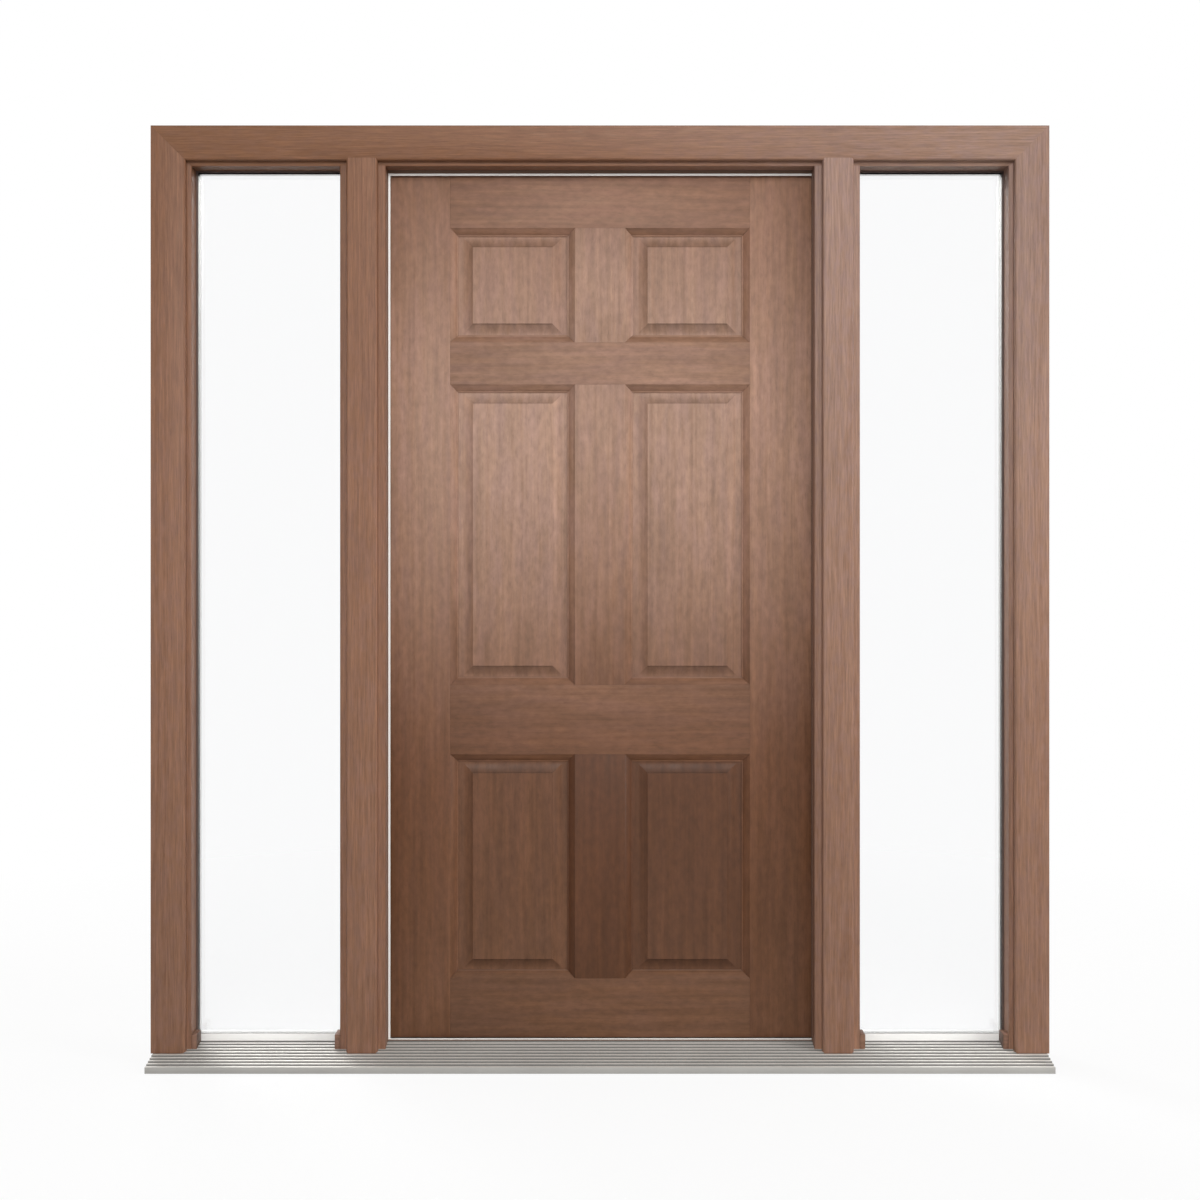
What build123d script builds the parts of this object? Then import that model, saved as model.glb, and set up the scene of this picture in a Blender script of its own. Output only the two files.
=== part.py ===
from build123d import *
import os

# Timber panel door leaf in a mitred frame, with two mullions, two full-height sidelights and
# a stepped metal sill. Millimetres. +X to the viewer's right, +Y inwards, +Z up. The origin is
# on the sill's flat underside, at mid width, under the frame's front face.

# Door leaf
leaf_width = 984.0
leaf_height = 1981.0
leaf_thickness = 44.0
stile_width = 151.0
muntin_width = 114.0
bottom_rail_height = 134.0
bottom_panel_height = 510.0
lock_rail_height = 158.0
frieze_rail_height = 95.5
top_panel_height = 260.5
top_rail_height = 139.0
closing_edge_bevel = 2.4

# Moulding worked round the panel openings, and the groove that holds the panels
moulding_width = 18.0
moulding_depth = 13.0
moulding_swell = 0.5
moulding_step = 0.8
moulding_fillet = 3.6
moulding_lip = 2.0
groove_depth = 12.0
panel_expansion_gap = 2.0
panel_face_fit = 0.2

# Raised and fielded panels
panel_side_margin = 11.0
panel_end_margin = 3.0
bevel_width = 22.0
bevel_hollow = 1.4
field_recess = 3.0
field_shoulder = 1.6

# Frame
jamb_face = 77.0
mullion_face = 70.0
stop_setback = 18.0
stop_length = 48.0
jamb_stop = 10.0
mullion_stop = 16.0
rebate_depth = 15.0
face_arris_radius = 5.0
stop_arris_radius = 1.5
leaf_gap = 5.0
sidelight_width = 334.0

# Sidelight glazing
gasket_thickness = 4.0
gasket_sight = 4.0
gasket_bite = 8.0
pane_thickness = 4.0
pane_cavity = 16.0
glass_edge_cover = 12.0
spacer_edge_inset = 4.0
spacer_sight = 7.0
bead_chamfer = 6.0
channel_wall = 3.0
foot_block_width = 12.0
foot_block_height = 25.0

# Sill
sill_end_inset = 5.0
sill_projection = 74.0
sill_nose_height = 14.2
sill_platform_height = 37.0
sill_platform_front = 60.0
sill_step_count = 9
sill_groove_width = 2.6
sill_groove_depth = 1.3
sill_wall = 3.0
sill_web_count = 4

# Weather seal round the doorway
seal_thickness = 3.0
seal_front = 60.0
seal_socket = 3.0
carrier_sight_side = 1.5
carrier_sight_head = 7.8
carrier_sight_foot = 3.0
lip_width = 4.5
lip_foot_width = 2.0

# Butt hinges
hinge_height = 100.0
hinge_leaf_width = 35.0
hinge_leaf_thickness = 2.0
hinge_top_offset = 150.0
hinge_bottom_offset = 225.0
knuckle_radius = 6.5
knuckle_count = 5
knuckle_gap = 0.4
knuckle_clear = 0.5
pin_radius = 3.0
pin_clearance = 0.06
pin_head_radius = 5.0
pin_head_height = 2.0

# Spare length of the shapes that trim others
trim_spare = 1.0

# Levels and lines worked out from the sizes above
frame_depth = stop_setback + stop_length + leaf_gap + leaf_thickness
stop_back = stop_setback + stop_length
leaf_front = stop_back + leaf_gap
leaf_foot = sill_platform_height + leaf_gap
leaf_top = leaf_foot + leaf_height
leaf_lap = rebate_depth - leaf_gap
door_half = leaf_width / 2 - leaf_lap
door_head = leaf_top - leaf_lap
mullion_centre = door_half + mullion_stop + mullion_face / 2
light_inner = mullion_centre + mullion_face / 2 + mullion_stop
light_outer = light_inner + sidelight_width
frame_half = light_outer + jamb_stop + jamb_face
frame_top = door_head + jamb_stop + jamb_face
sill_half = frame_half - sill_end_inset
middle_panel_height = (leaf_height - bottom_rail_height - bottom_panel_height - lock_rail_height
                       - frieze_rail_height - top_panel_height - top_rail_height)
hinge_x = leaf_width / 2 + leaf_gap / 2
hinge_y = frame_depth + knuckle_radius + knuckle_clear
light_foot = sill_platform_height + rebate_depth
glass_front = stop_back + gasket_thickness
glass_back = glass_front + 2 * pane_thickness + pane_cavity


def block(x0, x1, y0, y1, z0, z1):
    return Pos((x0 + x1) / 2, (y0 + y1) / 2, (z0 + z1) / 2) * Box(x1 - x0, y1 - y0, z1 - z0)


def save(node, shape):
    export_step(shape, "parts/" + node + ".step")


def rounded(face, corners, radius):
    for corner in corners:
        vertex = face.vertices().sort_by_distance(Vector(corner[0], corner[1], 0))[0]
        face = fillet([vertex], radius)
    return face


# Sill: a hollow extrusion with stepped, grooved treads

def sill_outline(with_grooves):
    run = (sill_projection + sill_platform_front) / sill_step_count
    rise = (sill_platform_height - sill_nose_height) / sill_step_count
    points = [(-sill_projection, 0), (-sill_projection, sill_nose_height)]
    for step in range(1, sill_step_count + 1):
        y = -sill_projection + step * run
        z = sill_nose_height + (step - 1) * rise
        if with_grooves:
            points.append((y - sill_groove_width, z))
            points.append((y - sill_groove_width, z - sill_groove_depth))
            points.append((y, z - sill_groove_depth))
        else:
            points.append((y, z))
        points.append((y, z + rise))
    points += [(frame_depth, sill_platform_height), (frame_depth, 0)]
    return make_face(Polyline(*points, close=True))


def sill_chambers():
    slope = (sill_platform_height - sill_nose_height) / (sill_projection + sill_platform_front)
    drop = sill_wall + sill_groove_depth
    inside = frame_depth + sill_projection - 2 * sill_wall
    pitch = (inside + sill_wall) / (sill_web_count + 1)
    chambers = []
    for bay in range(sill_web_count + 1):
        y0 = -sill_projection + sill_wall + bay * pitch
        y1 = y0 + pitch - sill_wall
        tops = []
        for y in (y1, y0):
            level = sill_nose_height + (y + sill_projection) * slope
            tops.append((y, min(level, sill_platform_height) - drop))
        chambers.append(make_face(Polyline((y0, sill_wall), (y1, sill_wall), *tops, close=True)))
    return chambers


def across(face, half_width):
    # A section drawn in depth and height, run across the full width
    return extrude(Plane.YZ.offset(-half_width) * face, 2 * half_width)


def sill():
    face = sill_outline(True)
    for chamber in sill_chambers():
        face -= chamber
    return across(face, sill_half)


def sill_seat():
    # The solid under the treads, from which the posts are scribed to fit
    return across(sill_outline(False), frame_half + trim_spare)


# Frame members

def edge_section():
    # Jamb or head section: u from the outer face inwards, v from the front face back
    stop = jamb_face + jamb_stop
    floor = stop - rebate_depth
    face = make_face(Polyline((0, 0), (jamb_face, 0), (jamb_face, stop_setback),
                              (stop, stop_setback), (stop, stop_back), (floor, stop_back),
                              (floor, frame_depth), (0, frame_depth), close=True))
    face = rounded(face, [(jamb_face, 0)], face_arris_radius)
    return rounded(face, [(stop, stop_setback)], stop_arris_radius)


def mullion_section():
    # u from the mullion's centre line towards the door, v from the front face back
    face_edge = mullion_face / 2
    stop = face_edge + mullion_stop
    floor = stop - rebate_depth
    half = [(face_edge, 0), (face_edge, stop_setback), (stop, stop_setback),
            (stop, stop_back), (floor, stop_back), (floor, frame_depth)]
    mirrored = [(-u, v) for u, v in reversed(half)]
    face = make_face(Polyline(*half, *mirrored, close=True))
    face = rounded(face, [(face_edge, 0), (-face_edge, 0)], face_arris_radius)
    face = rounded(face, [(stop, stop_setback), (-stop, stop_setback)], stop_arris_radius)
    socket = Pos(stop - seal_socket / 2, seal_front + seal_thickness / 2)
    return face - socket * Rectangle(seal_socket, seal_thickness)


def head_bar():
    section = Plane((-frame_half, 0, frame_top), x_dir=(0, 0, -1), z_dir=(1, 0, 0)) * edge_section()
    bar = extrude(section, 2 * frame_half)
    socket = block(-door_half - seal_socket, door_half + seal_socket, seal_front,
                   seal_front + seal_thickness, door_head, door_head + seal_socket)
    return bar - socket


def mitre_wedge():
    # The outline of the head between its two 45 degree mitres
    depth = jamb_face + jamb_stop + trim_spare
    outline = make_face(Polyline((-frame_half, frame_top), (frame_half, frame_top),
                                 (frame_half - depth, frame_top - depth),
                                 (-frame_half + depth, frame_top - depth), close=True))
    return extrude(Plane.XZ.offset(trim_spare) * outline, -(frame_depth + 2 * trim_spare))


def head():
    return head_bar() & mitre_wedge()


def left_jamb():
    section = Pos(-frame_half, 0) * edge_section()
    bar = extrude(section, frame_top)
    return bar - mitre_wedge() - sill_seat()


def left_mullion():
    section = Pos(-mullion_centre, 0) * mullion_section()
    return extrude(section, frame_top - trim_spare) - head_bar() - sill_seat()


def right_mullion():
    post = mirror(left_mullion(), Plane.YZ)
    side = leaf_width / 2 + leaf_gap
    for z in hinge_levels():
        post -= block(side, side + hinge_leaf_thickness, hinge_y - hinge_leaf_width, frame_depth,
                      z - hinge_height / 2, z + hinge_height / 2)
    return post


# Weather seal: a dark carrier held in the stops, with a pale lip at the closing side, head and foot

def ring(outer, inner, y0, y1):
    return (block(outer[0], outer[1], y0, y1, outer[2], outer[3])
            - block(inner[0], inner[1], y0, y1, inner[2], inner[3]))


def carrier_inside():
    return (-door_half + carrier_sight_side, door_half - carrier_sight_side,
            sill_platform_height + carrier_sight_foot, door_head - carrier_sight_head)


def seal_carrier():
    outside = (-door_half - seal_socket, door_half + seal_socket, sill_platform_height,
               door_head + seal_socket)
    return ring(outside, carrier_inside(), seal_front, seal_front + seal_thickness)


def weather_seal():
    x0, x1, z0, z1 = carrier_inside()
    inside = (x0 + lip_width, x1, z0 + lip_foot_width, z1 - lip_width)
    return ring((x0, x1, z0, z1), inside, seal_front, seal_front + seal_thickness)


# Sidelights

def grown(opening, margin):
    return (opening[0] - margin, opening[1] + margin, opening[2] - margin, opening[3] + margin)


def slab(opening, y0, y1):
    return block(opening[0], opening[1], y0, y1, opening[2], opening[3])


def glazing_bead(opening, side):
    # A chamfered bead behind the glass, along one side of the opening
    x0, x1, z0, z1 = opening
    deep = frame_depth - glass_back
    section = make_face(Polyline((0, 0), (rebate_depth, 0), (rebate_depth, deep - bead_chamfer),
                                 (rebate_depth - bead_chamfer, deep), (0, deep), close=True))
    if side == "top":
        corner = Plane((x0 - rebate_depth, glass_back, z1 + rebate_depth), x_dir=(0, 0, -1), z_dir=(1, 0, 0))
        return extrude(corner * section, x1 - x0 + 2 * rebate_depth)
    upright = extrude(section, z1 - sill_platform_height)
    if side == "right":
        return Pos(x1 + rebate_depth, glass_back, sill_platform_height) * mirror(upright, Plane.YZ)
    return Pos(x0 - rebate_depth, glass_back, sill_platform_height) * upright


def base_channel(opening):
    # The channel on the sill that carries the glass, with a leg each side of it
    x0, x1, z0, z1 = opening
    floor = block(x0 - rebate_depth, x1 + rebate_depth, stop_back, glass_back,
                  sill_platform_height, sill_platform_height + channel_wall)
    front = block(x0, x1, stop_back - channel_wall, stop_back, sill_platform_height, z0)
    back = block(x0, x1, glass_back, glass_back + channel_wall, sill_platform_height, z0)
    return floor + front + back


def sight(opening, margin):
    # The clear view inside a strip that shows at the sides and head, and ends level with the foot
    x0, x1, z0, z1 = grown(opening, -margin)
    return (x0, x1, opening[2], z1)


def foot_blocks(opening):
    # Two blocks on the sill, each in the corner between a stop and the base channel
    x0, x1, z0, z1 = opening
    top = sill_platform_height + foot_block_height
    back = stop_back - channel_wall
    left = block(x0, x0 + foot_block_width, stop_setback, back, 0, top) - sill_seat()
    right = block(x1 - foot_block_width, x1, stop_setback, back, 0, top) - sill_seat()
    return [left.solid(), right.solid()]


def sidelight(name, opening):
    pane = grown(opening, glass_edge_cover)
    inner_front = glass_back - pane_thickness
    save(name + "_outer_pane", slab(pane, glass_front, glass_front + pane_thickness))
    save(name + "_inner_pane", slab(pane, inner_front, glass_back))
    save(name + "_spacer_bar", ring(grown(pane, -spacer_edge_inset), sight(opening, spacer_sight),
                                    glass_front + pane_thickness, inner_front))
    save(name + "_gasket", ring(grown(opening, gasket_bite), sight(opening, gasket_sight),
                                stop_back, glass_front))
    save(name + "_base_channel", base_channel(opening))
    for side in ("left", "right", "top"):
        save(name + "_bead_" + side, glazing_bead(opening, side))


# Door leaf

def moulding_face():
    # u from the face line inwards, v through the leaf: swelled splay, step, fillet and panel groove
    nose = moulding_width - moulding_fillet
    floor = moulding_width - groove_depth
    half = leaf_thickness / 2
    shelf = moulding_depth - moulding_lip
    foot = shelf - moulding_step
    slant = (nose ** 2 + foot ** 2) ** 0.5
    crown = (nose / 2 + moulding_swell * foot / slant, foot / 2 - moulding_swell * nose / slant)
    outline = ThreePointArc((0, 0), crown, (nose, foot)) + Polyline(
        (nose, foot), (nose, shelf), (moulding_width, shelf), (moulding_width, moulding_depth),
        (floor, moulding_depth), (floor, half), (0, half), (0, 0))
    front = make_face(outline)
    back = Pos(0, leaf_thickness) * mirror(front, Plane.XZ)
    return front + back


def moulding_run(corner, inward, along, length):
    # One mitred length of moulding, started at an opening's corner
    bar = extrude(moulding_face(), length)
    reach = moulding_width
    outline = make_face(Polyline((0, 0), (reach, reach), (reach, length - reach), (0, length),
                                 close=True))
    wedge = extrude(Plane.XZ * outline, -leaf_thickness)
    place = Plane((corner[0], leaf_front, corner[1]), x_dir=inward, z_dir=along)
    return place.location * (bar & wedge)


def opening_runs(opening):
    x0, x1, z0, z1 = opening
    return {
        "left": moulding_run((x0, z0), (1, 0, 0), (0, 0, 1), z1 - z0),
        "right": moulding_run((x1, z1), (-1, 0, 0), (0, 0, -1), z1 - z0),
        "bottom": moulding_run((x1, z0), (0, 0, 1), (-1, 0, 0), x1 - x0),
        "top": moulding_run((x0, z1), (0, 0, -1), (1, 0, 0), x1 - x0),
    }


def panel_rows():
    # Lower and upper level of the bottom, middle and top rows of panel openings
    bottom = leaf_foot + bottom_rail_height
    middle = bottom + bottom_panel_height + lock_rail_height
    top = middle + middle_panel_height + frieze_rail_height
    return [(bottom, bottom + bottom_panel_height), (middle, middle + middle_panel_height),
            (top, top + top_panel_height)]


def panel_section(half_opening, margin):
    # u from the panel's middle outwards, v through the leaf: flat field, shoulder, hollow bevel,
    # margin and tongue, the same on both faces
    edge = half_opening - (moulding_width - groove_depth + panel_expansion_gap)
    foot = half_opening - moulding_width - margin
    field = foot - bevel_width
    face = moulding_depth + panel_face_fit
    crest = field_recess + field_shoulder
    half = leaf_thickness / 2
    slant = (bevel_width ** 2 + (face - crest) ** 2) ** 0.5
    hollow = ((foot + field) / 2 - bevel_hollow * (face - crest) / slant,
              (face + crest) / 2 + bevel_hollow * bevel_width / slant)
    outline = Polyline((0, half), (0, field_recess), (field, field_recess), (field, crest))
    outline += ThreePointArc((field, crest), hollow, (foot, face))
    outline += Polyline((foot, face), (edge, face), (edge, half), (0, half))
    quarter = make_face(outline)
    front = quarter + mirror(quarter, Plane.YZ)
    return front + Pos(0, leaf_thickness) * mirror(front, Plane.XZ)


def raised_panel(opening):
    # The section runs up the panel and across it, and the bevels mitre where the two runs meet
    x0, x1, z0, z1 = opening
    upright = Plane(((x0 + x1) / 2, leaf_front, z0), x_dir=(1, 0, 0), z_dir=(0, 0, 1))
    level = Plane((x1, leaf_front, (z0 + z1) / 2), x_dir=(0, 0, 1), z_dir=(-1, 0, 0))
    run_up = extrude(upright * panel_section((x1 - x0) / 2, panel_side_margin), z1 - z0)
    run_across = extrude(level * panel_section((z1 - z0) / 2, panel_end_margin), x1 - x0)
    return run_up & run_across


def closing_stile(runs):
    x0 = -leaf_width / 2
    x1 = x0 + stile_width
    y1 = leaf_front + leaf_thickness
    outline = make_face(Polyline((x0 + closing_edge_bevel, leaf_front), (x1, leaf_front), (x1, y1),
                                 (x0, y1), close=True))
    return Pos(0, 0, leaf_foot) * extrude(outline, leaf_height) + runs


def hinge_stile(runs):
    x1 = leaf_width / 2
    y1 = leaf_front + leaf_thickness
    stile = block(x1 - stile_width, x1, leaf_front, y1, leaf_foot, leaf_top)
    for z in hinge_levels():
        stile -= block(x1 - hinge_leaf_thickness, x1, hinge_y - hinge_leaf_width, y1,
                       z - hinge_height / 2, z + hinge_height / 2)
    return stile + runs


def door_leaf():
    y1 = leaf_front + leaf_thickness
    outer = leaf_width / 2 - stile_width
    inner = muntin_width / 2
    rows = panel_rows()
    names = ["bottom", "middle", "top"]
    left = [opening_runs((-outer, -inner, z0, z1)) for z0, z1 in rows]
    right = [opening_runs((inner, outer, z0, z1)) for z0, z1 in rows]
    save("closing_stile", closing_stile([runs["left"] for runs in left]))
    save("hinge_stile", hinge_stile([runs["right"] for runs in right]))
    for row, name in enumerate(names):
        z0, z1 = rows[row]
        muntin = block(-inner, inner, leaf_front, y1, z0, z1)
        save(name + "_muntin", muntin + [left[row]["right"], right[row]["left"]])
        save(name + "_left_panel", raised_panel((-outer, -inner, z0, z1)))
        save(name + "_right_panel", raised_panel((inner, outer, z0, z1)))
    rails = ["bottom_rail", "lock_rail", "frieze_rail", "top_rail"]
    levels = [leaf_foot] + [level for row in rows for level in row] + [leaf_top]
    for index, name in enumerate(rails):
        rail = block(-outer, outer, leaf_front, y1, levels[2 * index], levels[2 * index + 1])
        runs = []
        if index > 0:
            runs += [left[index - 1]["top"], right[index - 1]["top"]]
        if index < len(rows):
            runs += [left[index]["bottom"], right[index]["bottom"]]
        save(name, rail + runs)


# Butt hinges

def hinge_levels():
    low = leaf_foot + hinge_bottom_offset + hinge_height / 2
    high = leaf_top - hinge_top_offset - hinge_height / 2
    return [low, (low + high) / 2, high]


def knuckles(z, first):
    pitch = hinge_height / knuckle_count
    tubes = []
    for index in range(first, knuckle_count, 2):
        middle = z - hinge_height / 2 + (index + 0.5) * pitch
        tubes.append(Pos(hinge_x, hinge_y, middle) * Cylinder(knuckle_radius, pitch - knuckle_gap))
    return tubes


def hinge_leaf(z, side, first):
    # side is the hinge leaf's buried face, thickness runs from it towards the pin
    toward = 1 if side < hinge_x else -1
    near = side + toward * hinge_leaf_thickness
    x0, x1 = sorted((side, near))
    plate = block(x0, x1, hinge_y - hinge_leaf_width, frame_depth, z - hinge_height / 2,
                  z + hinge_height / 2)
    pitch = hinge_height / knuckle_count
    for index in range(first, knuckle_count, 2):
        middle = z - hinge_height / 2 + (index + 0.5) * pitch
        half = (pitch - knuckle_gap) / 2
        plate += block(x0, x1, frame_depth, hinge_y, middle - half, middle + half)
    plate += knuckles(z, first)
    return plate - Pos(hinge_x, hinge_y, z) * Cylinder(pin_radius + pin_clearance, 2 * hinge_height)


def hinge_pin(z):
    shaft = Pos(hinge_x, hinge_y, z) * Cylinder(pin_radius, hinge_height)
    for side in (-1, 1):
        end = z + side * (hinge_height / 2 - knuckle_gap / 2 + pin_head_height / 2)
        shaft += Pos(hinge_x, hinge_y, end) * Cylinder(pin_head_radius, pin_head_height)
    return shaft


def hinges():
    levels = hinge_levels()
    frame_side = leaf_width / 2 + leaf_gap + hinge_leaf_thickness
    door_side = leaf_width / 2 - hinge_leaf_thickness
    save("hinge_frame_leaves", Compound([hinge_leaf(z, frame_side, 0).solid() for z in levels]))
    save("hinge_door_leaves", Compound([hinge_leaf(z, door_side, 1).solid() for z in levels]))
    save("hinge_pins", Compound([hinge_pin(z).solid() for z in levels]))


os.makedirs("parts", exist_ok=True)
save("sill", sill())
save("head", head())
jamb = left_jamb()
save("left_jamb", jamb)
save("right_jamb", mirror(jamb, Plane.YZ))
save("left_mullion", left_mullion())
save("right_mullion", right_mullion())
save("seal_carrier", seal_carrier())
save("weather_seal", weather_seal())
left_opening = (-light_outer, -light_inner, light_foot, door_head)
right_opening = (light_inner, light_outer, light_foot, door_head)
sidelight("left_light", left_opening)
sidelight("right_light", right_opening)
save("light_foot_blocks", Compound(foot_blocks(left_opening) + foot_blocks(right_opening)))
door_leaf()
hinges()
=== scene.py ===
import math

import bmesh
import bpy
from mathutils import Euler, Matrix, Vector


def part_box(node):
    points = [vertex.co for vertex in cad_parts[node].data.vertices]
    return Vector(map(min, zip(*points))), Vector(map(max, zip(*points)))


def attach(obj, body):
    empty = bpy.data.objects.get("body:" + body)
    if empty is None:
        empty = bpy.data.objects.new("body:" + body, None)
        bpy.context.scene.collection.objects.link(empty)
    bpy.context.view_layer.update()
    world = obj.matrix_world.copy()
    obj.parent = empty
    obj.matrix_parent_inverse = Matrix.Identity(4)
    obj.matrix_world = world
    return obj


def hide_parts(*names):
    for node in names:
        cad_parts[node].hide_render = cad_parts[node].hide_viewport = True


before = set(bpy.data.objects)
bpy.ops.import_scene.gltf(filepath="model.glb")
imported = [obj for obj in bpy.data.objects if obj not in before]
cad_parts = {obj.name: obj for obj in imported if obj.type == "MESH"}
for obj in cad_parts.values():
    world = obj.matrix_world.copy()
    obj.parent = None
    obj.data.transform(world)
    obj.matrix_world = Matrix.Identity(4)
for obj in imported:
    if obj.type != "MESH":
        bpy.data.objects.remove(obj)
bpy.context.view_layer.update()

mm = 0.001
print("frame loaded:", len(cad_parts), "nodes")


# Helpers that all pieces share

noiseBand = {"From Min": 0.3, "From Max": 0.7}    # nearly all values of a noise lie in this band

# The doubles' distance in mm, and angles in degrees: faces that meet at less than flat are one,
# facets of a curve meet between facet and curve, and edges above corner are eased.
easing = {"doubles": 0.002, "flat": 0.3, "facet": 0.57, "curve": 25, "corner": 32}


def toLinear(hexColour):
    # sRGB hex value to the linear colour that the shaders work in
    channels = [int(hexColour[i:i + 2], 16) / 255 for i in (1, 3, 5)]
    return (*[c / 12.92 if c <= 0.04045 else ((c + 0.055) / 1.055) ** 2.4 for c in channels], 1.0)


def addNode(material, kind, inputs=None, **settings):
    # Adds a node with its settings. An input that is given a socket is linked, any other is set.
    tree = material.node_tree
    node = tree.nodes.new("ShaderNode" + kind)
    node.location = (len(tree.nodes) * 190, 0)
    for name, value in settings.items():
        setattr(node, name, value)
    for name, value in (inputs or {}).items():
        if isinstance(value, bpy.types.NodeSocket):
            tree.links.new(value, node.inputs[name])
        else:
            node.inputs[name].default_value = value
    return node


def newMaterial(name):
    material = bpy.data.materials.new(name)
    material.use_nodes = True
    material.node_tree.nodes.clear()
    return material


def finishMaterial(material, surface):
    addNode(material, "OutputMaterial", {"Surface": surface.outputs[0]})
    return material


def nodeMesh(nodeName):
    # A node's solids as a bmesh, without the doubles that its loose triangles bring
    mesh = bmesh.new()
    mesh.from_mesh(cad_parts[nodeName].data)
    bmesh.ops.remove_doubles(mesh, verts=mesh.verts, dist=easing["doubles"] * mm)
    return mesh


def keepPiece(mesh, name, material, body):
    # Turns a finished bmesh into an object that rides on a body
    data = bpy.data.meshes.new(name)
    mesh.to_mesh(data)
    mesh.free()
    data.materials.append(material)
    piece = bpy.data.objects.new(name, data)
    bpy.context.scene.collection.objects.link(piece)
    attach(piece, body)
    return piece


def easedCopy(nodeName, arris, material, body, curve=easing["curve"]):
    # The node's own solid, with its outer corners eased as sanding or drawing leaves them. Only
    # facets of a curve are smoothed, so the raised panels' slopes stay flat.
    mesh = nodeMesh(nodeName)
    bmesh.ops.dissolve_limit(mesh, angle_limit=math.radians(easing["flat"]),
                             verts=mesh.verts, edges=mesh.edges)
    corners = [edge for edge in mesh.edges if edge.is_manifold and edge.is_convex
               and edge.calc_face_angle() > math.radians(easing["corner"])]
    bmesh.ops.bevel(mesh, geom=corners, offset=arris * mm, offset_type="OFFSET", affect="EDGES",
                    segments=2, profile=0.5, material=-1, clamp_overlap=True)
    least, most = math.radians(easing["facet"]), math.radians(curve)
    for face in mesh.faces:
        face.smooth = any(least < edge.calc_face_angle(0) < most for edge in face.edges)
    for edge in mesh.edges:
        edge.smooth = edge.calc_face_angle(0) < most
    piece = keepPiece(mesh, "eased_" + nodeName, material, body)
    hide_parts(nodeName)


def paint(nodeName, material):
    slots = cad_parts[nodeName].data.materials
    slots.clear()
    slots.append(material)


# Timber

# Sizes in mm. A pattern is drawn out along the grain by how much shorter its lengths count, and
# its spread is how far it carries the tone down and up. They are as coarse as they need to show.
frameTimber = {
    "earlyWood": "#9f7e6e",      # the paler wood between the growth lines
    "lateWood": "#937160",       # the growth lines
    "greyCast": "#987a71",       # the pinker, greyer patches of the stain
    "ringSpacing": 4.6,
    "wander": 20.0,              # how far the growth lines wander sideways
    "patterns": {
        "fibre": {"size": 2.2, "lengthwise": 0.05, "detail": 3.0, "spread": 0.15},
        "streak": {"size": 3.6, "lengthwise": 0.03, "detail": 2.5, "spread": 0.13},
        "figure": {"size": 14.0, "lengthwise": 0.4, "detail": 2.0, "spread": 0.02},
        "drift": {"size": 170.0, "lengthwise": 0.35, "detail": 2.0, "spread": 0.03},
    },
    "tone": 1.0,
    "firstBoard": 5,             # the frame's boards are counted on from here
    "arris": 0.8,
}
leafTimber = {
    "earlyWood": "#9f7e69",
    "lateWood": "#967560",
    "greyCast": "#9b7c6d",
    "ringSpacing": 10.0,
    "wander": 26.0,
    "patterns": {
        "fibre": {"size": 12.0, "lengthwise": 0.5, "detail": 3.0, "spread": 0.13},
        "streak": {"size": 16.0, "lengthwise": 0.05, "detail": 3.0, "spread": 0.135},
        "figure": {"size": 26.0, "lengthwise": 0.2, "detail": 2.0, "spread": 0.04},
        "drift": {"size": 150.0, "lengthwise": 0.35, "detail": 2.0, "spread": 0.03},
    },
    "tone": 1.151,
    "firstBoard": 4,
    "arris": 0.5,
}

# What both timbers share. A band is the part of a pattern over which its effect sets in.
meranti = {
    "boardSpacing": 610.0,       # how far apart in the pattern two boards are cut
    "patterns": {
        "wander": {"size": 115.0, "lengthwise": 0.22, "detail": 2.0},
        "pores": {"size": 1.3, "lengthwise": 0.07, "detail": 1.0},
    },
    "ringBand": (0.28, 0.6),
    "castBand": (0.4, 0.65), "castShare": 0.8,
    "poreBand": (0.6, 0.72), "poreTone": 0.85,
    "endGrainTone": 0.4,
}
satinCoat = {"roughness": (0.45, 0.56), "shine": 0.25, "relief": 0.08}
panelCurve = 12                  # degrees: the panels' hollow bevels have finer facets

# The stain's colour along an axis, by place in metres, with painted light and shade in it. The
# leaf's ramp paints shade towards the foot and under the head, and a pool of light around its
# middle; the frame's ramps paint light falling from the upper right, and the frame is warmer
# towards the left.
stainAndLightRamps = {
    "leaf": ("Z", [(0.05, "#b29c87"), (0.45, "#aa9077"), (0.75, "#b8a18e"),
                   (1.05, "#e2d6ce"), (1.5, "#fff9f6"), (1.95, "#e2d2c6")]),
    # The frame's ramps paint light falling from the upper right: the right members paler and greyer
    # towards the top, the head paler to the right, the left members darker at the top.
    "left": ("Z", [(0.1, "#fcead4"), (0.75, "#ffecd5"), (1.3, "#fbe7d0"), (1.95, "#e9ceae")]),
    "right": ("Z", [(0.1, "#f4e8d8"), (0.75, "#f5ebdd"), (1.3, "#fffcf4"), (1.95, "#f8f9f8")]),
    "head": ("X", [(-0.85, "#dbc4a5"), (0.0, "#dec9af"), (0.85, "#fefffa")]),
}


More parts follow.
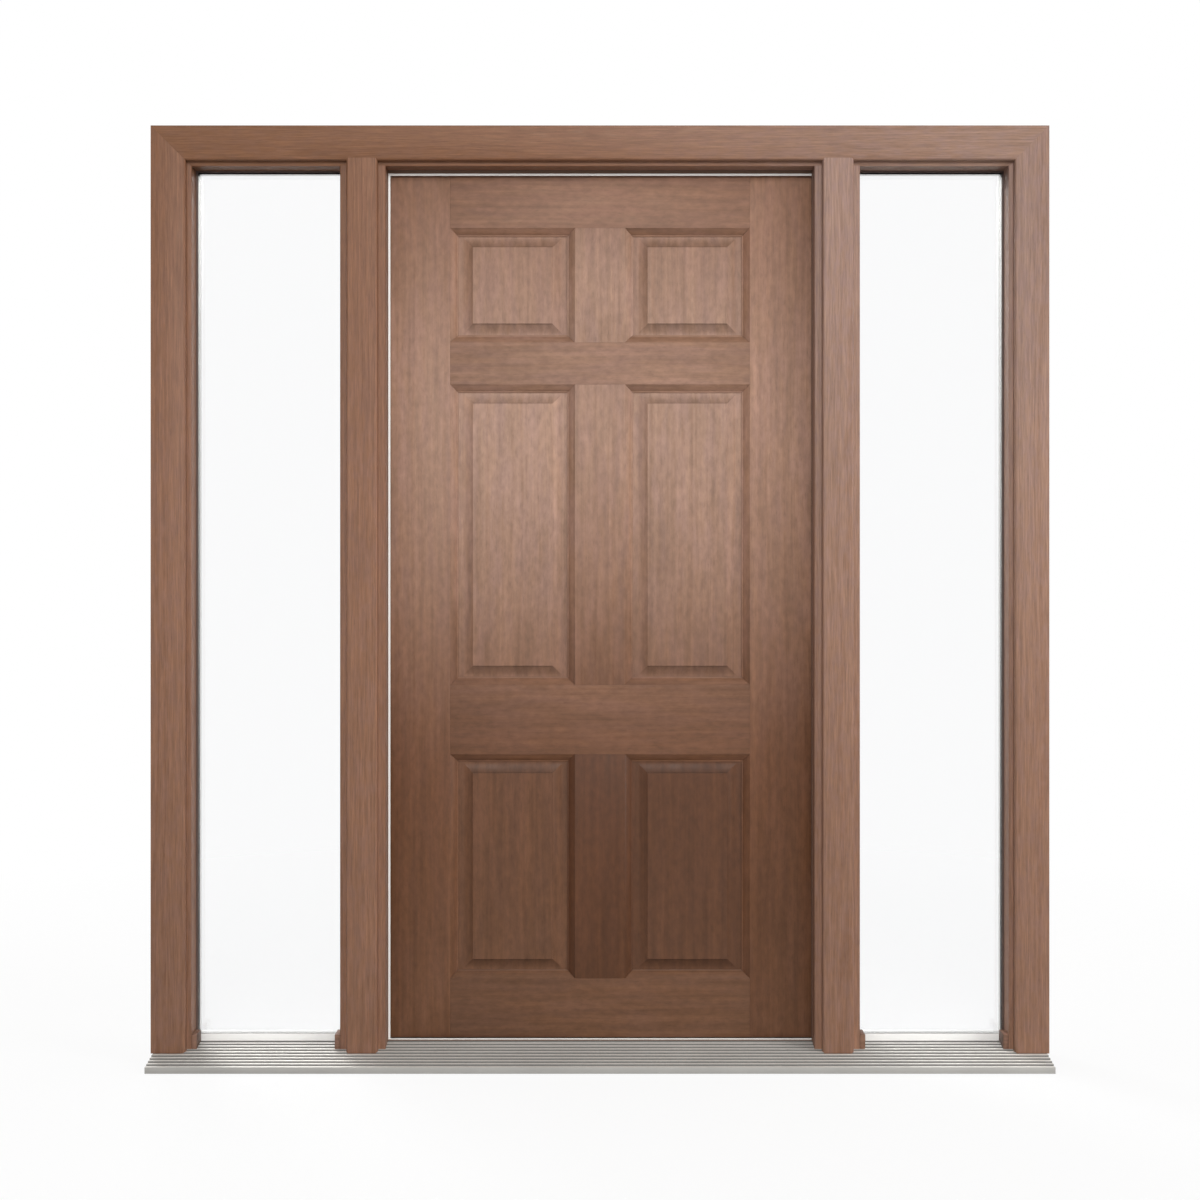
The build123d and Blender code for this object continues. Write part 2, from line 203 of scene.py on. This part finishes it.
def timberMaterial(nodeName, along, pith, toneWithPaintedLight, warmth, stain, timber, board):
    # Meranti, planed, stained and satin coated: growth lines that wander a little, soft streaks of
    # fibre with open pores, and the broken figure of interlocked grain. End grain takes more stain.
    material = newMaterial("meranti planed satin stained, " + nodeName)
    low, high = (Vector(corner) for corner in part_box(nodeName))
    turn = Euler((0, math.radians(90) if along == "x" else 0, 0))
    middle = turn.to_matrix() @ ((low + high) / 2 / mm)
    place = addNode(material, "TexCoord")
    inMillimetres = addNode(material, "Mapping", {
        "Vector": place.outputs["Object"], "Rotation": turn, "Scale": (1 / mm, 1 / mm, 1 / mm),
        "Location": Vector((*pith, meranti["boardSpacing"] * board)) - middle}).outputs[0]

    noises = {}
    for pattern, sizes in {**meranti["patterns"], **timber["patterns"]}.items():
        drawnOut = addNode(material, "VectorMath", {
            0: inMillimetres, 1: (1, 1, sizes["lengthwise"])}, operation="MULTIPLY")
        noises[pattern] = addNode(material, "TexNoise", {
            "Vector": drawnOut.outputs[0], "Scale": 1 / sizes["size"],
            "Detail": sizes["detail"], "Roughness": 0.55})

    # Growth lines are rings about the pith
    reach = timber["wander"]
    wandered = addNode(material, "VectorMath", {
        0: noises["wander"].outputs["Color"], 1: (reach, reach, 0), 2: inMillimetres},
        operation="MULTIPLY_ADD")
    acrossGrain = addNode(material, "VectorMath", {0: wandered.outputs[0], 1: (1, 1, 0)},
                          operation="MULTIPLY")
    fromPith = addNode(material, "VectorMath", {0: acrossGrain.outputs[0]}, operation="LENGTH")
    rings = addNode(material, "TexNoise", {
        "W": fromPith.outputs["Value"], "Scale": 1 / timber["ringSpacing"], "Detail": 3.0,
        "Roughness": 0.6}, noise_dimensions="1D")
    lines = addNode(material, "MapRange", {
        "Value": rings.outputs[0], "From Min": meranti["ringBand"][0],
        "From Max": meranti["ringBand"][1]})
    grain = addNode(material, "Mix", {
        0: lines.outputs[0], 6: toLinear(timber["lateWood"]), 7: toLinear(timber["earlyWood"])},
        data_type="RGBA")
    cast = addNode(material, "MapRange", {
        "Value": noises["figure"].outputs[0], "From Min": meranti["castBand"][0],
        "From Max": meranti["castBand"][1], "To Max": meranti["castShare"]})
    colour = addNode(material, "Mix", {
        0: cast.outputs[0], 6: grain.outputs[2], 7: toLinear(timber["greyCast"])},
        data_type="RGBA")

    # One tone gathers the board's own, with its painted light, the patterns, the pores and the end
    # grain
    tones = [addNode(material, "MapRange", {
        "Value": noises[pattern].outputs[0], **noiseBand,
        "To Min": 1 - sizes["spread"], "To Max": 1 + sizes["spread"]})
        for pattern, sizes in timber["patterns"].items()]
    poreTone = addNode(material, "MapRange", {
        "Value": noises["pores"].outputs[0], "From Min": meranti["poreBand"][0],
        "From Max": meranti["poreBand"][1], "To Min": 1.0, "To Max": meranti["poreTone"]})
    endwise = addNode(material, "VectorMath", {
        0: place.outputs["Normal"], 1: (1, 0, 0) if along == "x" else (0, 0, 1)},
        operation="DOT_PRODUCT")
    cut = addNode(material, "Math", {0: endwise.outputs["Value"]}, operation="ABSOLUTE")
    endTone = addNode(material, "MapRange", {
        "Value": cut.outputs[0], "To Min": 1.0, "To Max": meranti["endGrainTone"]})
    shade = timber["tone"] * toneWithPaintedLight
    for tone in (*tones, poreTone, endTone):
        shade = addNode(material, "Math", {0: shade, 1: tone.outputs[0]},
                        operation="MULTIPLY").outputs[0]

    # The board's own warmth, and the stain's colour at this place, which also paints light and
    # shade
    toned = addNode(material, "VectorMath", {0: colour.outputs[2], "Scale": shade},
                    operation="SCALE")
    warmed = addNode(material, "VectorMath", {
        0: toned.outputs[0], 1: (1, 1 - warmth / 2, 1 - warmth)}, operation="MULTIPLY")
    axis, stops = stainAndLightRamps[stain]
    first, last = stops[0][0], stops[-1][0]
    level = addNode(material, "SeparateXYZ", {0: place.outputs["Object"]})
    share = addNode(material, "MapRange", {
        "Value": level.outputs[axis], "From Min": first, "From Max": last})
    ramp = addNode(material, "ValToRGB", {0: share.outputs[0]})
    ramp.color_ramp.interpolation = "CARDINAL"
    elements = ramp.color_ramp.elements
    for index, (spot, hexColour) in enumerate(stops):
        stop = elements[index] if index < 2 else elements.new(1.0)
        stop.position = (spot - first) / (last - first)
        stop.color = toLinear(hexColour)
    # The ramp's colour carries painted light and shade along with the stain
    stained = addNode(material, "VectorMath", {0: warmed.outputs[0], 1: ramp.outputs["Color"]},
                      operation="MULTIPLY")

    satin = addNode(material, "MapRange", {
        "Value": noises["figure"].outputs[0], **noiseBand,
        "To Min": satinCoat["roughness"][0], "To Max": satinCoat["roughness"][1]})
    height = addNode(material, "Math", {0: noises["fibre"].outputs[0], 1: poreTone.outputs[0]})
    relief = addNode(material, "Bump", {
        "Strength": 0.5, "Distance": satinCoat["relief"] * mm, "Height": height.outputs[0]})
    surface = addNode(material, "BsdfPrincipled", {
        "Base Color": stained.outputs[0], "Roughness": satin.outputs[0], "IOR": 1.5,
        "Specular IOR Level": satinCoat["shine"], "Normal": relief.outputs[0]})
    return finishMaterial(material, surface)


# Direction of the grain, where the tree's pith lies across the member's face and behind it in mm,
# the board's tone, its warmth, which is how much less blue it is than the others, and its stain
# ramp. The tone is partly painted light: the frame's left members are darker as if less lit from
# the right, and the leaf's tones were fitted to stand in for light and shade as well as each
# board's own tone.
frameMembers = {
    "head": ("x", (12, 130), 0.92, 0.0, "head"),
    "left_jamb": ("z", (52, 105), 0.76, 0.0, "left"),
    "right_jamb": ("z", (-64, 118), 0.94, 0.0, "right"),
    "left_mullion": ("z", (26, 92), 0.79, 0.0, "left"),
    "right_mullion": ("z", (-34, 125), 0.95, 0.0, "right"),
    "left_light_bead_left": ("z", (60, 150), 0.86, 0.0, "left"),
    "left_light_bead_right": ("z", (-90, 140), 0.86, 0.0, "left"),
    "left_light_bead_top": ("x", (75, 160), 0.86, 0.0, "left"),
    "right_light_bead_left": ("z", (110, 120), 0.89, 0.0, "right"),
    "right_light_bead_right": ("z", (-70, 170), 0.89, 0.0, "right"),
    "right_light_bead_top": ("x", (-85, 150), 0.89, 0.0, "right"),
    "light_foot_blocks": ("x", (0, 140), 0.71, 0.0, "right"),
}
leafMembers = {
    "closing_stile": ("z", (260, 70), 0.90, 0.0, "leaf"),
    "hinge_stile": ("z", (-240, 85), 0.93, 0.02, "leaf"),
    "bottom_rail": ("x", (210, 95), 0.88, -0.1, "leaf"),
    "lock_rail": ("x", (-230, 80), 0.92, -0.05, "leaf"),
    "frieze_rail": ("x", (190, 120), 0.76, 0.04, "leaf"),
    "top_rail": ("x", (-210, 90), 0.81, 0.0, "leaf"),
    "bottom_muntin": ("z", (180, 140), 0.63, 0.2, "leaf"),
    "middle_muntin": ("z", (205, 100), 0.93, -0.04, "leaf"),
    "top_muntin": ("z", (-190, 110), 1.00, -0.15, "leaf"),
    "bottom_left_panel": ("z", (290, 60), 0.81, -0.05, "leaf"),
    "bottom_right_panel": ("z", (-310, 75), 0.63, 0.1, "leaf"),
    "middle_left_panel": ("z", (-280, 90), 0.99, -0.13, "leaf"),
    "middle_right_panel": ("z", (330, 65), 0.94, -0.11, "leaf"),
    "top_left_panel": ("z", (240, 105), 0.91, -0.09, "leaf"),
    "top_right_panel": ("z", (-260, 80), 0.90, -0.12, "leaf"),
}
for body, members, timber in (("frame", frameMembers, frameTimber),
                              ("leaf", leafMembers, leafTimber)):
    for board, (nodeName, member) in enumerate(members.items(), timber["firstBoard"]):
        easedCopy(nodeName, timber["arris"], timberMaterial(nodeName, *member, timber, board),
                  body, panelCurve if "panel" in nodeName else easing["curve"])
print("timber members eased and stained")


# Sill

# Upright faces are painted darker than the treads as shade, and the risers darker still as painted
# shadow in the grooves between the treads; the values are the shares of the treads' tone that they
# keep. The risers are those whose place along Y is within the half depth of the steps' middle.
sillMetal = {
    "colour": "#e4e1db", "metallic": 0.2, "roughness": (0.66, 0.71), "arris": 0.35,
    "dieLine": 2.2, "lengthwise": 0.006, "lineTone": (0.97, 1.03), "relief": 0.001,
    "cloudsPerMetre": 9.0, "cloudTone": (0.95, 1.04),
    # Painted shade on upright faces and, deeper, on the risers
    "uprightShade": 0.5, "riserShade": 0.22, "stepsMiddle": -6.0, "stepsHalfDepth": 67.0,
}


def sillMaterial():
    # Aluminium, extruded and left mill finished: a dull grey shine with faint die lines along its
    # length. Upright faces are darker than the treads by painted shade, and the risers between the
    # treads darker still by painted shadow.
    material = newMaterial("aluminium extruded mill finish")
    place = addNode(material, "TexCoord")
    drawnOut = addNode(material, "VectorMath", {
        0: place.outputs["Object"], 1: (sillMetal["lengthwise"] / mm, 1 / mm, 1 / mm)},
        operation="MULTIPLY")
    dieLines = addNode(material, "TexNoise", {
        "Vector": drawnOut.outputs[0], "Scale": 1 / sillMetal["dieLine"], "Detail": 2.0})
    clouds = addNode(material, "TexNoise", {
        "Vector": place.outputs["Object"], "Scale": sillMetal["cloudsPerMetre"], "Detail": 3.0})
    cloudTone = addNode(material, "MapRange", {
        "Value": clouds.outputs[0], **noiseBand,
        "To Min": sillMetal["cloudTone"][0], "To Max": sillMetal["cloudTone"][1]})
    lineTone = addNode(material, "MapRange", {
        "Value": dieLines.outputs[0], **noiseBand,
        "To Min": sillMetal["lineTone"][0], "To Max": sillMetal["lineTone"][1]})

    depth = addNode(material, "SeparateXYZ", {0: place.outputs["Object"]})
    stepped = addNode(material, "Math", {
        0: depth.outputs["Y"], 1: sillMetal["stepsMiddle"] * mm,
        2: sillMetal["stepsHalfDepth"] * mm}, operation="COMPARE")
    uprightShade = addNode(material, "MapRange", {
        "Value": stepped.outputs[0],
        "To Min": sillMetal["uprightShade"], "To Max": sillMetal["riserShade"]})
    facing = addNode(material, "SeparateXYZ", {0: place.outputs["Normal"]})
    upright = addNode(material, "Math", {0: facing.outputs["Y"]}, operation="ABSOLUTE")
    # Painted shade: upright faces darker than the treads, the risers darkest
    paintedFaceShade = addNode(material, "MapRange", {
        "Value": upright.outputs[0], "To Min": 1.0, "To Max": uprightShade.outputs[0]})

    shade = cloudTone.outputs[0]
    for tone in (lineTone, paintedFaceShade):
        shade = addNode(material, "Math", {0: shade, 1: tone.outputs[0]},
                        operation="MULTIPLY").outputs[0]
    colour = addNode(material, "VectorMath", {
        0: toLinear(sillMetal["colour"])[:3], "Scale": shade}, operation="SCALE")
    shine = addNode(material, "MapRange", {
        "Value": dieLines.outputs[0], **noiseBand,
        "To Min": sillMetal["roughness"][0], "To Max": sillMetal["roughness"][1]})
    relief = addNode(material, "Bump", {
        "Strength": 0.5, "Distance": sillMetal["relief"] * mm, "Height": dieLines.outputs[0]})
    surface = addNode(material, "BsdfPrincipled", {
        "Base Color": colour.outputs[0], "Metallic": sillMetal["metallic"],
        "Roughness": shine.outputs[0], "Normal": relief.outputs[0]})
    return finishMaterial(material, surface)


easedCopy("sill", sillMetal["arris"], sillMaterial(), "frame")
print("sill finished")


# Sidelight glazing and seals

# Each piece's skin: its colour and roughness, and what differs from a plain fine grain, such as the
# grain's size in mm or the spread of its tone
skins = {
    # EPDM, extruded: matt black-brown rubber round the glass
    "gasket": {"name": "EPDM rubber extruded dark", "colour": "#54443e", "roughness": 0.62},
    # The same in a lighter brown, for the door's seal
    "seal_carrier": {
        "name": "EPDM rubber extruded brown", "colour": "#634a3b", "roughness": 0.6},
    # Thermoplastic elastomer, extruded: soft off-white lip with a slight sheen
    "weather_seal": {
        "name": "TPE lip extruded pale", "colour": "#f1efeb", "roughness": 0.5, "spread": 0.02},
    # Aluminium, roll formed: bright bar with a fine grain from the rollers
    "spacer_bar": {
        "name": "aluminium roll formed bright", "colour": "#d2d2d0", "roughness": 0.3,
        "metallic": 1.0, "spread": 0.03},
    # Polyester powder on aluminium: an even white with the faintest orange peel
    "base_channel": {
        "name": "aluminium powder coated white", "colour": "#efeeec", "roughness": 0.4,
        "grainSize": 1.5, "spread": 0.015},
}
floatGlass = {"tint": (0.977, 0.978, 0.98, 1), "ior": 1.52}
channelArris = 0.3


def skinMaterial(name, colour, roughness, metallic=0.0, grainSize=0.6, lengthwise=1.0, detail=2.0,
                 spread=0.06, shine=(-0.05, 0.05)):
    # A moulded, rolled or brushed skin: one colour with a faint grain in its tone and its shine.
    # The grain is drawn out along Z by how much shorter its lengths count.
    material = newMaterial(name)
    place = addNode(material, "TexCoord").outputs["Object"]
    drawnOut = addNode(material, "VectorMath", {0: place, 1: (1, 1, lengthwise)},
                       operation="MULTIPLY")
    grain = addNode(material, "TexNoise", {
        "Vector": drawnOut.outputs[0], "Scale": 1 / (grainSize * mm), "Detail": detail})
    tone = addNode(material, "MapRange", {
        "Value": grain.outputs[0], **noiseBand, "To Min": 1 - spread, "To Max": 1 + spread})
    shade = addNode(material, "VectorMath", {
        0: toLinear(colour)[:3], "Scale": tone.outputs[0]}, operation="SCALE")
    gloss = addNode(material, "MapRange", {
        "Value": grain.outputs[0], **noiseBand,
        "To Min": roughness + shine[0], "To Max": roughness + shine[1]})
    bump = addNode(material, "Bump", {
        "Strength": 0.4, "Distance": 0.03 * mm, "Height": grain.outputs[0]})
    surface = addNode(material, "BsdfPrincipled", {
        "Base Color": shade.outputs[0], "Metallic": metallic, "Roughness": gloss.outputs[0],
        "Normal": bump.outputs[0]})
    return finishMaterial(material, surface)


def glassMaterial():
    # Float glass, polished and clear: hardly tinted face on, and light passes it to what is behind
    material = newMaterial("float glass clear")
    surface = addNode(material, "BsdfPrincipled", {
        "Base Color": floatGlass["tint"], "Roughness": 0.0, "IOR": floatGlass["ior"],
        "Transmission Weight": 1.0})
    letThrough = addNode(material, "BsdfTransparent", {"Color": (1, 1, 1, 1)})
    ray = addNode(material, "LightPath")
    both = addNode(material, "MixShader", {
        0: ray.outputs["Is Shadow Ray"], 1: surface.outputs[0], 2: letThrough.outputs[0]})
    return finishMaterial(material, both)


clearGlass = glassMaterial()
skin = {piece: skinMaterial(**settings) for piece, settings in skins.items()}
for light in ("left_light_", "right_light_"):
    easedCopy(light + "base_channel", channelArris, skin["base_channel"], "frame")
    for pane in ("outer_pane", "inner_pane"):
        paint(light + pane, clearGlass)
    for piece in ("spacer_bar", "gasket"):
        paint(light + piece, skin[piece])
for piece in ("seal_carrier", "weather_seal"):
    paint(piece, skin[piece])
print("glazing and seals finished")


# Hinges

# Sizes in mm. Each screw has its place from the plate's front edge and from the hinge's middle.
hinge = {
    "arris": 0.25, "plate": 2.0,
    "screws": ((8.0, -38.0), (19.0, -14.0), (8.0, 14.0), (19.0, 38.0)),
    "screwRadius": 3.9, "screwRise": 0.7, "screwSkirt": 0.4,
    "recess": (0.9, 4.2), "recessDepth": 0.6,            # width and length of the cross
}

# Stainless steel, pressed and satin brushed: fine lines along the hinge and a soft shine
brushedSteel = {
    "name": "stainless steel satin brushed", "colour": "#a9a8a6", "roughness": 0.34,
    "metallic": 1.0, "grainSize": 1 / 2.2, "lengthwise": 0.03, "detail": 3.0, "spread": 0.07,
    "shine": (-0.06, 0.08),
}


def solidLevels(nodeName):
    # The middle height of each separate solid of a node, each level once
    mesh = nodeMesh(nodeName)
    levels, seen = set(), set()
    for start in mesh.verts:
        if start in seen:
            continue
        seen.add(start)
        solid, ahead = [start], [start]
        while ahead:
            vert = ahead.pop()
            for link in vert.link_edges:
                other = link.other_vert(vert)
                if other not in seen:
                    seen.add(other)
                    solid.append(other)
                    ahead.append(other)
        heights = [vert.co.z for vert in solid]
        levels.add(round((min(heights) + max(heights)) / 2, 4))
    mesh.free()
    return sorted(levels)


def crossHeadScrew(mesh, centre, facing):
    # A low round head with a sunk cross, sitting on a face that looks along +X or -X
    wide, long = hinge["recess"]
    grid = bmesh.ops.create_grid(mesh, x_segments=3, y_segments=3, size=1.0)["verts"]
    for vert in grid:
        for axis in (0, 1):
            step = round(vert.co[axis] * 3)
            reach = wide if abs(step) == 1 else long
            vert.co[axis] = math.copysign(reach / 2, step) * mm
    faces = {face for vert in grid for face in vert.link_faces}
    edges = {edge for vert in grid for edge in vert.link_edges}
    rim = [edge for edge in edges if edge.is_boundary]
    cross = [face for face in faces
             if min(abs(c) for c in face.calc_center_median()[:2]) < 0.01 * mm]
    sunk = bmesh.ops.extrude_face_region(mesh, geom=cross)["geom"]
    bmesh.ops.delete(mesh, geom=cross, context="FACES_ONLY")
    bottom = [part for part in sunk if isinstance(part, bmesh.types.BMVert)]
    bmesh.ops.translate(mesh, verts=bottom, vec=(0, 0, -hinge["recessDepth"] * mm))

    outline = bmesh.ops.create_circle(
        mesh, segments=len(rim), radius=hinge["screwRadius"] * mm)["verts"]
    bmesh.ops.rotate(mesh, verts=outline, cent=(0, 0, 0),      # by half a side, to face the rim
                     matrix=Matrix.Rotation(math.pi / len(rim), 3, "Z"))
    bmesh.ops.translate(mesh, verts=outline, vec=(0, 0, -hinge["screwRise"] * mm))
    outer = list({edge for vert in outline for edge in vert.link_edges})
    bmesh.ops.bridge_loops(mesh, edges=rim + outer)
    skirt = bmesh.ops.extrude_edge_only(mesh, edges=outer)["geom"]
    foot = [part for part in skirt if isinstance(part, bmesh.types.BMVert)]
    bmesh.ops.translate(mesh, verts=foot, vec=(0, 0, -hinge["screwSkirt"] * mm))
    bmesh.ops.contextual_create(
        mesh, geom=[part for part in skirt if isinstance(part, bmesh.types.BMEdge)])

    head = list({vert for vert in grid + bottom + outline + foot if vert.is_valid})
    bmesh.ops.rotate(mesh, verts=head, cent=(0, 0, 0),
                     matrix=Matrix.Rotation(math.radians(90 * facing), 3, "Y"))
    outwards = Vector((facing * hinge["screwRise"] * mm, 0, 0))
    bmesh.ops.translate(mesh, verts=head, vec=Vector(centre) + outwards)


satinSteel = skinMaterial(**brushedSteel)
hingeLevels = solidLevels("hinge_pins")
for nodeName, body, facing in (("hinge_frame_leaves", "frame", -1),
                               ("hinge_door_leaves", "leaf", 1)):
    easedCopy(nodeName, hinge["arris"], satinSteel, body)
    low, high = (Vector(corner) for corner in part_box(nodeName))
    # The screws sit on the plate's open face, a plate's thickness from its buried one
    openFace = low.x + hinge["plate"] * mm if facing > 0 else high.x - hinge["plate"] * mm
    screws = bmesh.new()
    for level in hingeLevels:
        for inset, rise in hinge["screws"]:
            crossHeadScrew(screws, (openFace, low.y + inset * mm, level + rise * mm), facing)
    bmesh.ops.recalc_face_normals(screws, faces=screws.faces)
    keepPiece(screws, nodeName + "_screws", satinSteel, body)
paint("hinge_pins", satinSteel)
print("hinges finished")


# Studio: pale floor and white surroundings. A large soft lamp stands high in front, another to the
# right rakes across the mouldings, and a weaker one lights the back. Lengths are in metres, and a
# lamp has its power in watts, its size and its place.
studio = {
    "fill": 0.32,                        # the surroundings' strength as light on the object
    "floorColour": "#cccccc", "floorSeen": "#f4f4f4", "floorSize": 30.0, "floorDrop": 0.0005,
    "floorWhite": 0.9, "whiteFrom": (1.2, 3.2),
    "aim": (0.0, 0.0, 1.05),
    "lamps": {"front lamp": (480.0, 3.3, (0.1, -9.0, 4.7)),
              "raking lamp": (430.0, 4.5, (8.4, -4.35, 4.0)),
              "back lamp": (200.0, 2.6, (-3.0, 5.0, 6.4))},
}


def seenDirectly(material):
    # 1 for what the camera, a reflection or a view through glass sees, 0 for light that bounces
    rays = addNode(material, "LightPath")
    seen = rays.outputs["Is Camera Ray"]
    for ray in ("Is Glossy Ray", "Is Transmission Ray"):
        seen = addNode(material, "Math", {0: seen, 1: rays.outputs[ray]},
                       operation="MAXIMUM").outputs[0]
    return seen


world = bpy.data.worlds.new("studio surroundings")
bpy.context.scene.world = world
world.use_nodes = True
world.node_tree.nodes.clear()
strength = addNode(world, "MapRange", {
    "Value": seenDirectly(world), "To Min": studio["fill"], "To Max": 1.0})
surround = addNode(world, "Background", {
    "Color": (1, 1, 1, 1), "Strength": strength.outputs[0]})
addNode(world, "OutputWorld", {"Surface": surround.outputs[0]})

# The floor is white to look at but keeps a light shadow near the door, and it is greyer in the
# light that it returns
floorPaint = newMaterial("floor pale matt")
seen = seenDirectly(floorPaint)
place = addNode(floorPaint, "TexCoord")
away = addNode(floorPaint, "VectorMath", {0: place.outputs["Object"]}, operation="LENGTH")
white = addNode(floorPaint, "MapRange", {
    "Value": away.outputs["Value"], "From Min": studio["whiteFrom"][0],
    "From Max": studio["whiteFrom"][1], "To Min": studio["floorWhite"], "To Max": 1.0})
share = addNode(floorPaint, "Math", {0: seen, 1: white.outputs[0]}, operation="MULTIPLY")
tint = addNode(floorPaint, "Mix", {
    0: seen, 6: toLinear(studio["floorColour"]), 7: toLinear(studio["floorSeen"])},
    data_type="RGBA")
matt = addNode(floorPaint, "BsdfDiffuse", {"Color": tint.outputs[2]})
glow = addNode(floorPaint, "Emission", {"Color": (1, 1, 1, 1), "Strength": 1.0})
finishMaterial(floorPaint, addNode(floorPaint, "MixShader", {
    0: share.outputs[0], 1: matt.outputs[0], 2: glow.outputs[0]}))

floorMesh = bmesh.new()
bmesh.ops.create_grid(floorMesh, x_segments=1, y_segments=1, size=studio["floorSize"] / 2)
bmesh.ops.translate(floorMesh, verts=floorMesh.verts, vec=(0, 0, -studio["floorDrop"]))
floorData = bpy.data.meshes.new("studio_floor")
floorMesh.to_mesh(floorData)
floorMesh.free()
floorData.materials.append(floorPaint)
floor = bpy.data.objects.new("studio_floor", floorData)
bpy.context.scene.collection.objects.link(floor)

for name, (power, size, spot) in studio["lamps"].items():
    lampData = bpy.data.lights.new(name, "AREA")
    lampData.shape = "DISK"
    lampData.energy, lampData.size = power, size
    lamp = bpy.data.objects.new(name, lampData)
    lamp.location = spot
    towards = Vector(studio["aim"]) - Vector(spot)
    lamp.rotation_euler = towards.to_track_quat("-Z", "Y").to_euler()
    bpy.context.scene.collection.objects.link(lamp)

# Camera: square on to the door, 4 m in front of the frame, level, with a small downward shift
camera = {"place": (0.0, -4.0, 1.117), "lens": 53.66, "sensor": 36.0, "shiftY": -0.0292}
cameraData = bpy.data.cameras.new("camera")
cameraData.lens, cameraData.sensor_width = camera["lens"], camera["sensor"]
cameraData.shift_y = camera["shiftY"]
cameraObject = bpy.data.objects.new("camera", cameraData)
cameraObject.location = camera["place"]
cameraObject.rotation_euler = (math.radians(90), 0, 0)
bpy.context.scene.collection.objects.link(cameraObject)
bpy.context.scene.camera = cameraObject
bpy.context.scene.view_settings.view_transform = "Standard"
print("studio lit")
